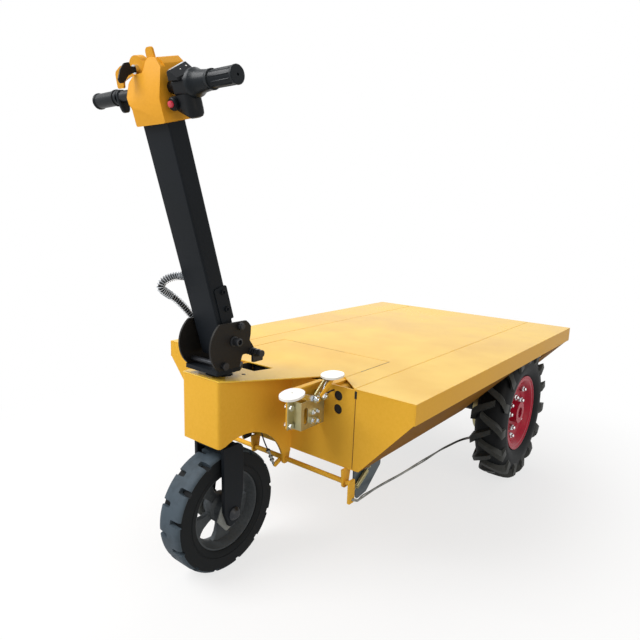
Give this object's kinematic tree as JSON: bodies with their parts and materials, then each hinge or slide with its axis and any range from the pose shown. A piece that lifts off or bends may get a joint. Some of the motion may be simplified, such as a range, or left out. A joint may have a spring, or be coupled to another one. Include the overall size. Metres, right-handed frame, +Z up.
{
  "type": "electric platform trolley",
  "caption": "Electric platform trolley with a flat steel deck, one steered front wheel, driven rear wheels and a folding control column.",
  "frame": {"origin": "on the ground under the middle of the overall length and width", "axes": "+Z up, -Y towards the front wheel, the way it drives, +X to the trolley's left"},
  "size_m": [0.8, 1.51, 1.0874],
  "materials": {
    "bar_black": "satin",
    "battery_black": "matte",
    "black_paint": "satin",
    "black_plastic": "matte",
    "blue_grey": "satin",
    "bright_steel": "satin",
    "cable_black": "matte",
    "cast_grey": "matte",
    "dark_steel": "satin",
    "grip_rubber": "matte",
    "motor_grey": "satin",
    "red_paint": "gloss",
    "red_plastic": "gloss",
    "rod_steel": "satin",
    "solid_rubber": "matte",
    "tyre_rubber": "matte",
    "yellow_paint": "gloss",
    "zinc": "satin"
  },
  "bodies": {
    "chassis": {"axle_hangers": "black_paint", "battery_pack": "battery_black", "battery_tray": "yellow_paint", "brake_cable": "cable_black", "brake_pedal": "bright_steel", "brake_plates": "zinc", "brake_rods": "rod_steel", "brake_shaft": "yellow_paint", "chassis_frame": "yellow_paint", "deck_plate": "yellow_paint", "drive_motor": "motor_grey", "front_bulkhead": "yellow_paint", "nose_box": "yellow_paint", "nose_plate": "yellow_paint", "pedal_bolts": "bright_steel", "pedal_bracket": "zinc", "pedal_cable": "cable_black", "rear_axle": "black_paint", "release_pedal": "bright_steel", "return_spring": "zinc", "shaft_hangers": "yellow_paint", "side_skirts": "yellow_paint", "spring_bracket": "blue_grey", "steering_head": "yellow_paint"},
    "steering": {"fork": "black_paint", "front_axle": "dark_steel", "steering_stem": "black_paint", "hinge_base": "black_paint", "hinge_cheeks": "black_paint", "pivot_bolt": "dark_steel", "hinge_bolts": "dark_steel", "stop_screw": "dark_steel"},
    "column": {"column_tube": "black_paint", "column_straps": "black_paint", "head_housing": "yellow_paint", "key_switch": "bright_steel", "ignition_key": "black_plastic", "handlebar": "bar_black", "left_grip": "grip_rubber", "right_grip": "grip_rubber", "throttle_housing": "black_plastic", "switch_housing": "black_plastic", "horn_button": "red_plastic", "wiring_loom": "cable_black"},
    "front_wheel": {"front_tyre": "solid_rubber", "front_rim": "cast_grey"},
    "rear_wheel_left": {"rear_tyre_left": "tyre_rubber", "rear_rim_left": "red_paint", "rear_hub_left": "bright_steel"},
    "rear_wheel_right": {"rear_tyre_right": "tyre_rubber", "rear_rim_right": "red_paint", "rear_hub_right": "bright_steel"}
  },
  "joints": [
    {"name": "steering", "type": "hinge", "parent": "chassis", "child": "steering", "pos_m": [0, -0.55596, 0.473], "axis": [0, 0, 1], "range_deg": [-60, 60]},
    {"name": "column_fold", "type": "hinge", "parent": "steering", "child": "column", "pos_m": [0, -0.56096, 0.541], "axis": [-1, 0, 0], "range_deg": [0, 106], "deforming": ["wiring_loom"]},
    {"name": "front_wheel_spin", "type": "hinge", "parent": "steering", "child": "front_wheel", "pos_m": [0, -0.55596, 0.142], "axis": [1, 0, 0], "continuous": true},
    {"name": "rear_wheel_left_spin", "type": "hinge", "parent": "chassis", "child": "rear_wheel_left", "pos_m": [0.336, 0.37704, 0.212], "axis": [1, 0, 0], "continuous": true},
    {"name": "rear_wheel_right_spin", "type": "hinge", "parent": "chassis", "child": "rear_wheel_right", "pos_m": [-0.336, 0.37704, 0.212], "axis": [1, 0, 0], "continuous": true}
  ]
}
